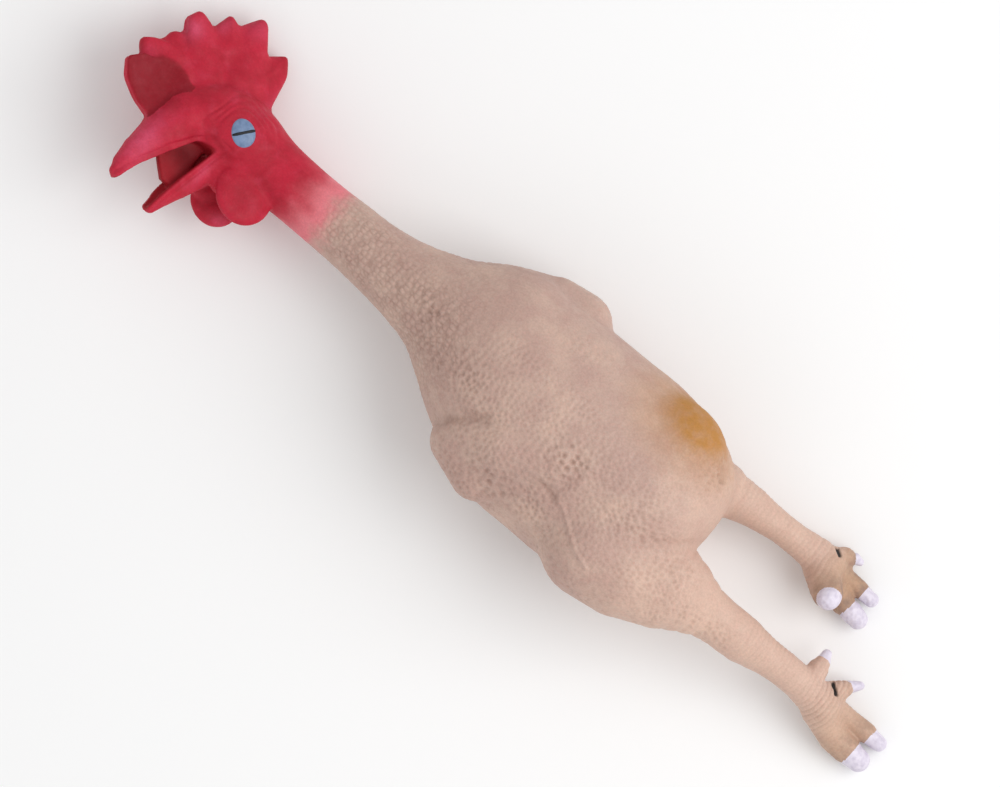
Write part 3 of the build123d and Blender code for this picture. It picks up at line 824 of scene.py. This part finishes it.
def tidy_labels(piece, rounds=3):
    """Gives each face the piece that most of its neighbours have, so that the cuts run clean."""
    codes = {n: i for i, n in enumerate(sorted(set(piece)))}
    code = np.array([codes[n] for n in piece])
    for _ in range(rounds):
        votes = np.zeros((len(points), len(codes)), np.int16)
        for i in range(4):
            np.add.at(votes, (quads[:, i], code), 1)
        code = votes[quads].sum(1).argmax(1)
    back = sorted(codes, key=codes.get)
    return np.array(back)[code]


piece = tidy_labels(piece)
TORSO_CUTS = (-30, 34)
piece[(piece == "torso") & (cx > TORSO_CUTS[1])] = "breast"
piece[(piece == "torso") & (cx < TORSO_CUTS[0])] = "rump"


# ---- making objects
def new_object(name, pts, faces, nrm=None, attributes=None, rest_points=None):
    mesh = bpy.data.meshes.new(name)
    mesh.vertices.add(len(pts))
    mesh.vertices.foreach_set("co", (pts * MM).astype(np.float32).ravel())
    sides = faces.shape[1]
    mesh.loops.add(faces.size)
    mesh.loops.foreach_set("vertex_index", faces.astype(np.int32).ravel())
    mesh.polygons.add(len(faces))
    mesh.polygons.foreach_set("loop_start", (np.arange(len(faces)) * sides).astype(np.int32))
    mesh.update(calc_edges=True)
    mesh.polygons.foreach_set("use_smooth", np.ones(len(faces), bool))
    for key, values in (attributes or {}).items():
        mesh.attributes.new(key, "FLOAT", "POINT").data.foreach_set("value", values.astype(np.float32))
    source = pts if rest_points is None else rest_points
    store = mesh.attributes.new("rest", "FLOAT_VECTOR", "POINT")
    store.data.foreach_set("vector", (source * MM).astype(np.float32).ravel())
    if nrm is not None:
        mesh.normals_split_custom_set_from_vertices(nrm.astype(np.float32))
    obj = bpy.data.objects.new(name, mesh)
    bpy.context.scene.collection.objects.link(obj)
    return obj


def skin_piece(name, obj_name):
    faces = quads[piece == name]
    used, faces = np.unique(faces, return_inverse=True)
    faces = faces.reshape(-1, 4)
    return new_object(
        obj_name, points[used], faces, normals[used], {k: v[used] for k, v in masks.items()}, rest[used]
    )


# ---- materials
def nodes_of(name):
    material = bpy.data.materials.new(name)
    material.use_nodes = True
    tree = material.node_tree
    return material, tree, tree.nodes["Principled BSDF"]


class Graph:
    """Short calls for building a node tree."""

    def __init__(self, tree):
        self.tree = tree

    def node(self, kind, **settings):
        made = self.tree.nodes.new("ShaderNode" + kind)
        for key, value in settings.items():
            setattr(made, key, value)
        return made

    def link(self, source, target):
        self.tree.links.new(source, target)

    def attribute(self, name, output="Fac"):
        return self.node("Attribute", attribute_name=name).outputs[output]

    def noise(self, scale, detail=4.0, rough=0.55):
        made = self.node("TexNoise")
        made.inputs["Scale"].default_value = scale
        made.inputs["Detail"].default_value = detail
        made.inputs["Roughness"].default_value = rough
        self.link(self.attribute("rest", "Vector"), made.inputs["Vector"])
        return made.outputs["Fac"]

    def math(self, operation, a, b):
        made = self.node("Math", operation=operation)
        for socket, value in zip(made.inputs, (a, b)):
            if isinstance(value, (int, float)):
                socket.default_value = value
            else:
                self.link(value, socket)
        return made.outputs[0]

    def span(self, value, low, high, new_low=0.0, new_high=1.0):
        made = self.node("MapRange", interpolation_type="SMOOTHSTEP")
        self.link(value, made.inputs["Value"])
        ends = {"From Min": low, "From Max": high, "To Min": new_low, "To Max": new_high}
        for key, number in ends.items():
            made.inputs[key].default_value = number
        return made.outputs["Result"]

    def part(self, name, share):
        """A mask of the skin, times a number or a socket."""
        return self.math("MULTIPLY", self.attribute(name), share)

    def mix(self, share, a, b):
        made = self.node("Mix", data_type="RGBA")
        self.link(share, made.inputs["Factor"])
        for socket, value in ((made.inputs[6], a), (made.inputs[7], b)):
            if isinstance(value, tuple):
                socket.default_value = (*linear(value), 1)
            else:
                self.link(value, socket)
        return made.outputs[2]

    def bump(self, height, strength, distance):
        made = self.node("Bump")
        made.inputs["Strength"].default_value = strength
        made.inputs["Distance"].default_value = distance
        self.link(height, made.inputs["Height"])
        return made.outputs["Normal"]


def linear(colour):
    """A colour given as 0 to 255 screen values, as linear light."""
    parts = [c / 255 for c in colour]
    return tuple(c / 12.92 if c <= 0.04045 else ((c + 0.055) / 1.055) ** 2.4 for c in parts)


SKIN = (195, 165, 151)
SKIN_PALE = (220, 186, 166)
SKIN_SHADE = (187, 155, 143)
HOLLOW_SHADE = (138, 106, 92)
OCHRE = (180, 126, 62)
RED = (188, 32, 56)
RED_DEEP = (172, 28, 48)
RED_SHADE = (130, 8, 24)
RED_PINK = (214, 72, 100)
RED_MIST = (224, 124, 132)
RED_HIGHLIGHT = (216, 84, 116)
MOUTH = (156, 24, 36)
THROAT_SHADE = (112, 8, 18)
FOOT_TAN = (186, 150, 122)
FOOT_GREY = (150, 122, 106)
SLIT_SHADE = (22, 16, 14)


def latex(name):
    """Painted latex: pale skin, red head and ochre rump, laid out by the skin's masks, with painted shade
    in the hollows, creases, slits, throat and comb scoop, painted pink highlights on the red and painted
    light toward the rear.
    """
    material, tree, bsdf = nodes_of(name)
    g = Graph(tree)
    broad = g.noise(45, 3)
    middle = g.noise(180, 4)
    fine = g.noise(900, 3)
    colour = g.mix(g.span(broad, 0.38, 0.64), SKIN, SKIN_SHADE)
    colour = g.mix(g.span(broad, 0.45, 0.25, 0.0, 0.3), colour, SKIN_PALE)
    # Painted light toward the rear.
    colour = g.mix(g.part("painted_rear_light", 0.55), colour, SKIN_PALE)
    colour = g.mix(g.part("foot", 0.8), colour, FOOT_TAN)
    colour = g.mix(g.part("grime", g.span(middle, 0.35, 0.65, 0.3, 0.8)), colour, FOOT_GREY)
    # Painted shade in the pits, gaps, wrinkles and creases.
    hollow_shade_share = g.part("hollow_shade", g.span(middle, 0.3, 0.7, 0.35, 0.8))
    colour = g.mix(hollow_shade_share, colour, HOLLOW_SHADE)
    ochre_edge = g.part("yellow", g.span(middle, 0.25, 0.6, 0.8, 1.0))
    colour = g.mix(ochre_edge, colour, OCHRE)
    red = g.mix(g.span(g.noise(70, 4), 0.35, 0.7), RED, RED_DEEP)
    red = g.mix(g.span(g.noise(130, 3, 0.5), 0.5, 0.8, 0.0, 0.25), red, RED_PINK)
    # Painted shade in the hollows of the red.
    red = g.mix(g.part("hollow_shade", 0.5), red, RED_DEEP)
    # Painted pink highlights on the red.
    red = g.mix(g.part("painted_highlight", g.span(middle, 0.3, 0.7, 0.45, 0.8)), red, RED_HIGHLIGHT)
    # Painted shade in the comb's scoop and the shaded spots.
    red = g.mix(g.part("painted_red_shade", 0.85), red, RED_SHADE)
    mist = g.span(g.math("ADD", g.attribute("red"), g.math("MULTIPLY", g.noise(320, 4), 0.2)), 0.08, 0.55)
    colour = g.mix(mist, colour, RED_MIST)
    cover = g.span(g.math("ADD", g.attribute("red"), g.math("MULTIPLY", g.noise(210, 4), 0.2)), 0.5, 1.14)
    colour = g.mix(cover, colour, red)
    colour = g.mix(g.attribute("mouth"), colour, MOUTH)
    # Painted shade deep in the mouth.
    colour = g.mix(g.attribute("throat"), colour, THROAT_SHADE)
    # Painted shade inside the slits and the vent hole.
    colour = g.mix(g.attribute("slit"), colour, SLIT_SHADE)
    speckle = g.span(fine, 0.3, 0.7, 0.93, 1.05)
    bright = g.node("HueSaturation")
    g.link(speckle, bright.inputs["Value"])
    g.link(colour, bright.inputs["Color"])
    g.link(bright.outputs["Color"], bsdf.inputs["Base Color"])
    g.link(g.span(middle, 0.3, 0.7, 0.5, 0.66), bsdf.inputs["Roughness"])
    g.link(g.bump(g.noise(1400, 5, 0.6), 0.35, 0.00018), bsdf.inputs["Normal"])
    bsdf.inputs["Subsurface Weight"].default_value = 0.1
    bsdf.inputs["Subsurface Radius"].default_value = (0.9, 0.4, 0.3)
    bsdf.inputs["Subsurface Scale"].default_value = 0.004
    bsdf.inputs["Specular IOR Level"].default_value = 0.2 if name == "latex_red" else 0.35
    return material


def plain_paint(name, colour, other, rough_low, rough_high, scale=350, grain=0.3):
    """A paint or plastic with mottled colour, uneven gloss and a fine grain."""
    material, tree, bsdf = nodes_of(name)
    g = Graph(tree)
    mottle = g.noise(scale, 4)
    g.link(g.mix(g.span(mottle, 0.35, 0.7), colour, other), bsdf.inputs["Base Color"])
    g.link(g.span(g.noise(scale * 2.3, 4), 0.3, 0.7, rough_low, rough_high), bsdf.inputs["Roughness"])
    g.link(g.bump(g.noise(scale * 5, 4), grain, 0.0002), bsdf.inputs["Normal"])
    return material


MATERIALS = {
    "skin": latex("latex_skin"),
    "skin_yellow": latex("latex_rump"),
    "skin_red": latex("latex_red"),
    "foot_skin": latex("latex_foot"),
    "claw_paint": plain_paint("claw_paint", (222, 214, 227), (204, 195, 212), 0.35, 0.5),
    "eye_paint": plain_paint("eye_paint", (116, 138, 172), (96, 118, 152), 0.3, 0.45),
    "pupil_paint": plain_paint("pupil_paint", (3, 4, 12), (9, 11, 22), 0.5, 0.65),
    "squeaker_plastic": plain_paint("squeaker_plastic", (234, 232, 226), (222, 219, 210), 0.35, 0.5),
    "reed_brass": plain_paint("reed_brass", (196, 160, 90), (176, 138, 70), 0.25, 0.4),
    "fibre_fill": plain_paint("fibre_fill", (240, 238, 230), (214, 210, 198), 0.85, 0.95, 160, 0.8),
}
MATERIALS["reed_brass"].node_tree.nodes["Principled BSDF"].inputs["Metallic"].default_value = 1.0

# ---- the skin's pieces
# piece: object name, slot, CAD nodes replaced, and what it rides on or bends between.
PIECES = {
    "torso": ("torso_middle", "skin", ["torso_skin"], "torso"),
    "breast": ("torso_breast", "skin", ["torso_skin"], "torso"),
    "rump": ("torso_rump", "skin", ["torso_skin"], "torso"),
    "wing_left": ("wing_left.skin", "skin", ["wing_left"], "torso"),
    "wing_right": ("wing_right.skin", "skin", ["wing_right"], "torso"),
    "thigh_left": ("thigh_left.skin", "skin", ["thigh_left"], "torso"),
    "thigh_right": ("thigh_right.skin", "skin", ["thigh_right"], "torso"),
    "tail": ("tail.skin", "skin_yellow", ["tail"], "torso"),
    "neck_lower": ("neck_lower", "skin", ["neck_lower_skin"], ("torso", "neck_lower", "neck_base")),
    "neck_upper": ("neck_upper", "skin", ["neck_upper_skin"], ("neck_lower", "neck_upper", "neck_mid")),
    "neck_top": ("neck_top", "skin_red", [], ("neck_upper", "head", "head")),
    "head": ("head", "skin_red", ["head_skin"], "head"),
    "comb": ("comb.skin", "skin_red", ["comb"], "head"),
    "upper_beak": ("upper_beak.skin", "skin_red", ["upper_beak"], "head"),
    "lower_beak": ("lower_beak.skin", "skin_red", ["lower_beak"], ("head", "jaw", "jaw")),
    "throat": ("throat", "skin_red", [], ("head", "jaw", "jaw")),
    "mouth_wall": ("mouth_wall", "skin_red", [], ("head", "jaw", "mouth_wall")),
    "wattle_left": ("wattle_left.skin", "skin_red", ["wattle_left"], ("head", "jaw", "jaw")),
    "wattle_right": ("wattle_right.skin", "skin_red", ["wattle_right"], ("head", "jaw", "jaw")),
    "shank_left": ("shank_left", "skin", ["shank_left_skin"], ("torso", "shank_left", "hock_left")),
    "shank_right": ("shank_right", "skin", ["shank_right_skin"], ("torso", "shank_right", "hock_right")),
    "foot_left": (
        "foot_left.skin", "foot_skin", ["foot_left_skin"], ("shank_left", "foot_left", "ankle_left"),
    ),
    "foot_right": (
        "foot_right.skin", "foot_skin", ["foot_right_skin"], ("shank_right", "foot_right", "ankle_right"),
    ),
    "claws_left": ("claws_left.horn", "claw_paint", ["claws_left"], "foot_left"),
    "claws_right": ("claws_right.horn", "claw_paint", ["claws_right"], "foot_right"),
}
BENDS["jaw"] = (head_point(0, JAW_START), head_point(0, JAW_END))
BENDS["mouth_wall"] = (head_point(24, 34), head_point(12, 38))
for key, (name, slot, replaced, holder) in PIECES.items():
    obj = skin_piece(key, name)
    obj.data.materials.append(MATERIALS[slot])
    if replaced:
        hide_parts(*replaced)
    if isinstance(holder, str):
        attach(obj, holder)
    else:
        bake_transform(obj)


# ---- eyes
EYE_UP, EYE_FRONT = 2.2, 4.2
EYE_RADIUS = 7.5
EYE_RISE = 1.5
EYE_STRETCH = (1.08, 0.9)
PUPIL_HALF = (6.6, 0.85)
PUPIL_ANGLE = math.radians(52)


def skin_left(ups, fronts, side):
    """How far out from the head's middle plane the skin lies at places given in the head's axes."""
    reach = np.arange(12, 32, 0.1)
    u = np.repeat(ups, len(reach))
    v = np.repeat(fronts, len(reach))
    w = np.tile(reach, len(ups)) * side
    p = [HEAD_CENTRE[i] + u * HEAD_UP[i] + v * HEAD_FRONT[i] + w * HEAD_LEFT[i] for i in range(3)]
    inside = chicken(p).reshape(len(ups), len(reach)) < 0
    return reach[np.maximum(inside.shape[1] - 1 - inside[:, ::-1].argmax(1), 0)]


def paint_on_head(name, pts, faces, slot, node):
    obj = new_object(name, pts, faces)
    obj.data.materials.append(MATERIALS[slot])
    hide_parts(node)
    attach(obj, "head")


def dome_rise(r):
    return EYE_RISE * np.sqrt(np.maximum(1 - (r / EYE_RADIUS) ** 2, 0))


def head_surface(ups, fronts, outs, side):
    return np.stack([head_point(u, v, side * w) for u, v, w in zip(ups, fronts, outs)])


def make_eye(side, label):
    """A low painted dome that follows the cheek."""
    rings, spokes = 16, 64
    radii = EYE_RADIUS * np.sin(np.linspace(0.02, math.pi / 2, rings))
    turn = np.linspace(0, 2 * math.pi, spokes, endpoint=False)
    long_way = EYE_STRETCH[0] * radii[:, None] * np.cos(turn)
    short_way = EYE_STRETCH[1] * radii[:, None] * np.sin(turn)
    u = EYE_UP + (-long_way * np.sin(PUPIL_ANGLE) + short_way * np.cos(PUPIL_ANGLE)).ravel()
    v = EYE_FRONT + (long_way * np.cos(PUPIL_ANGLE) + short_way * np.sin(PUPIL_ANGLE)).ravel()
    outs = skin_left(u, v, side)
    terms = np.polynomial.polynomial.polyvander2d
    smooth = terms(u - EYE_UP, v - EYE_FRONT, (2, 2))
    outs = smooth @ np.linalg.lstsq(smooth, outs, rcond=None)[0]
    r = np.repeat(radii, spokes)
    pts = head_surface(u, v, outs + dome_rise(r) - 0.5 * smooth_step(0.9, 1.0, r / EYE_RADIUS), side)
    i, j = np.meshgrid(np.arange(rings - 1), np.arange(spokes), indexing="ij")
    k = (j + 1) % spokes
    corners = [i * spokes + j, i * spokes + k, (i + 1) * spokes + k, (i + 1) * spokes + j]
    faces = np.stack(corners, -1).reshape(-1, 4)[:, ::-1 if side > 0 else 1]
    paint_on_head(f"eye_{label}.dome", pts, faces, "eye_paint", f"eye_{label}")

    columns, rows = 40, 7
    s = np.linspace(-1, 1, columns)
    t = np.linspace(-1, 1, rows)
    along, across = np.meshgrid(s, t, indexing="ij")
    taper = np.sqrt(np.maximum(1 - np.abs(along) ** 6, 0.02))
    a, b = along * PUPIL_HALF[0], across * PUPIL_HALF[1] * taper
    u2 = EYE_UP + (a * np.cos(PUPIL_ANGLE) - b * np.sin(PUPIL_ANGLE)).ravel()
    v2 = EYE_FRONT + (a * np.sin(PUPIL_ANGLE) + b * np.cos(PUPIL_ANGLE)).ravel()
    outs2 = terms(u2 - EYE_UP, v2 - EYE_FRONT, (2, 2)) @ np.linalg.lstsq(smooth, outs, rcond=None)[0]
    bead = 0.28 * (1 - np.abs(across) ** 4).ravel() * (1 - np.abs(along) ** 10).ravel() - 0.06
    r2 = np.hypot(u2 - EYE_UP, v2 - EYE_FRONT)
    pts = head_surface(u2, v2, outs2 + dome_rise(r2) + bead, side)
    i, j = np.meshgrid(np.arange(columns - 1), np.arange(rows - 1), indexing="ij")
    corners = [i * rows + j, (i + 1) * rows + j, (i + 1) * rows + j + 1, i * rows + j + 1]
    faces = np.stack(corners, -1).reshape(-1, 4)[:, ::-1 if side < 0 else 1]
    paint_on_head(f"pupil_{label}.slit", pts, faces, "pupil_paint", f"pupil_{label}")


make_eye(1, "left")
make_eye(-1, "right")

# ---- the fibre filling and the squeaker
FILL_STEP = 2.0                   # mesh spacing, mm
FILL_INSET = 8.0                  # from the skin's outside, mm
FILL_ENDS = (-79.0, 69.0)
SQUEAKER_SPACE = (-6, 48, 13.9, -63.6)   # y, z, radius, and how deep it reaches in x


def filling(p):
    """Clumps of fibre that fill the body round the squeaker."""
    flat = np.stack([q.ravel() for q in p], 1)
    clumps = 3.2 * (soft_noise(flat, 13, 61) - 0.5) + 1.6 * (soft_noise(flat, 5, 62) - 0.5)
    d = core(p) + FILL_INSET + clumps.reshape(p[0].shape)
    d = smooth_max(d, np.maximum(FILL_ENDS[0] - p[0], p[0] - FILL_ENDS[1]), 5)
    y, z, radius, reach = SQUEAKER_SPACE
    space = np.maximum(np.hypot(p[1] - y, p[2] - z) - radius, p[0] - reach)
    return smooth_max(d, -space, 1)


def make_filling():
    low = np.array([-86.0, -62, -4])
    counts = np.ceil((np.array([78.0, 66, 104]) - low) / FILL_STEP).astype(int) + 1
    axes = [low[i] + FILL_STEP * np.arange(counts[i]) for i in range(3)]
    p = np.meshgrid(*axes, indexing="ij")
    pts, faces = surface_of(np.clip(filling(p), -19, 19).astype(np.float32), FILL_STEP, low, 20.0)
    tufts = 0.5 * (soft_noise(pts, 2.6, 63) - 0.5)
    pts = pts + vertex_normals(pts, faces) * tufts[:, None]
    fill = new_object("body_stuffing.fibre", pts, faces)
    fill.data.materials.append(MATERIALS["fibre_fill"])
    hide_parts("body_stuffing")
    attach(fill, "torso")


make_filling()

for node, slot in (("squeaker_housing", "squeaker_plastic"), ("squeaker_cap", "squeaker_plastic"),
                   ("squeaker_reed", "reed_brass")):
    mesh = frame["nodes"][node].data
    mesh.materials.clear()
    mesh.materials.append(MATERIALS[slot])


# ---- stage
FLOOR_SIZE = 40
LIGHT_AIM = Vector((0.04, 0, 0.03))
WORLD_STRENGTH = 0.64


def make_stage():
    bpy.ops.mesh.primitive_plane_add(size=FLOOR_SIZE)
    floor = bpy.context.object
    floor.name = "floor"
    material = bpy.data.materials.new("floor_paper")
    material.use_nodes = True
    bsdf = material.node_tree.nodes["Principled BSDF"]
    bsdf.inputs["Base Color"].default_value = (0.93, 0.93, 0.93, 1)
    bsdf.inputs["Roughness"].default_value = 0.9
    floor.data.materials.append(material)


make_stage()
IMAGE_RIGHT = np.array([-0.7604, -0.6494, 0.0])
IMAGE_UP = np.array([0.6494, -0.7604, 0.0])
VIEW_CENTRE = np.array([48.2, 8.8, 48.0]) * MM
VIEW_DISTANCE = 12.0
FRAME_WIDTH = 0.530
camera_data = bpy.data.cameras.new("camera")
camera_data.sensor_width = 36
camera_data.lens = 36 * VIEW_DISTANCE / FRAME_WIDTH
camera = bpy.data.objects.new("camera", camera_data)
bpy.context.scene.collection.objects.link(camera)
turn = Matrix((IMAGE_RIGHT, IMAGE_UP, (0, 0, 1))).transposed().to_4x4()
camera.matrix_world = Matrix.Translation(Vector(VIEW_CENTRE) + Vector((0, 0, VIEW_DISTANCE))) @ turn
bpy.context.scene.camera = camera


def area_light(name, direction, distance, size, power):
    data = bpy.data.lights.new(name, "AREA")
    data.size = size
    data.energy = power
    obj = bpy.data.objects.new(name, data)
    bpy.context.scene.collection.objects.link(obj)
    place = LIGHT_AIM + Vector(direction).normalized() * distance
    obj.location = place
    obj.rotation_euler = (place - LIGHT_AIM).to_track_quat("Z", "Y").to_euler()


area_light("key", (-0.78, -0.5, 1.0), 2.2, 1.8, 29)
area_light("fill", (0.3, 1.0, 0.6), 2.6, 2.4, 9)
world = bpy.data.worlds.new("studio")
bpy.context.scene.view_settings.view_transform = "Standard"
world.use_nodes = True
world.node_tree.nodes["Background"].inputs["Color"].default_value = (1, 1, 1, 1)
world.node_tree.nodes["Background"].inputs["Strength"].default_value = WORLD_STRENGTH
bpy.context.scene.world = world
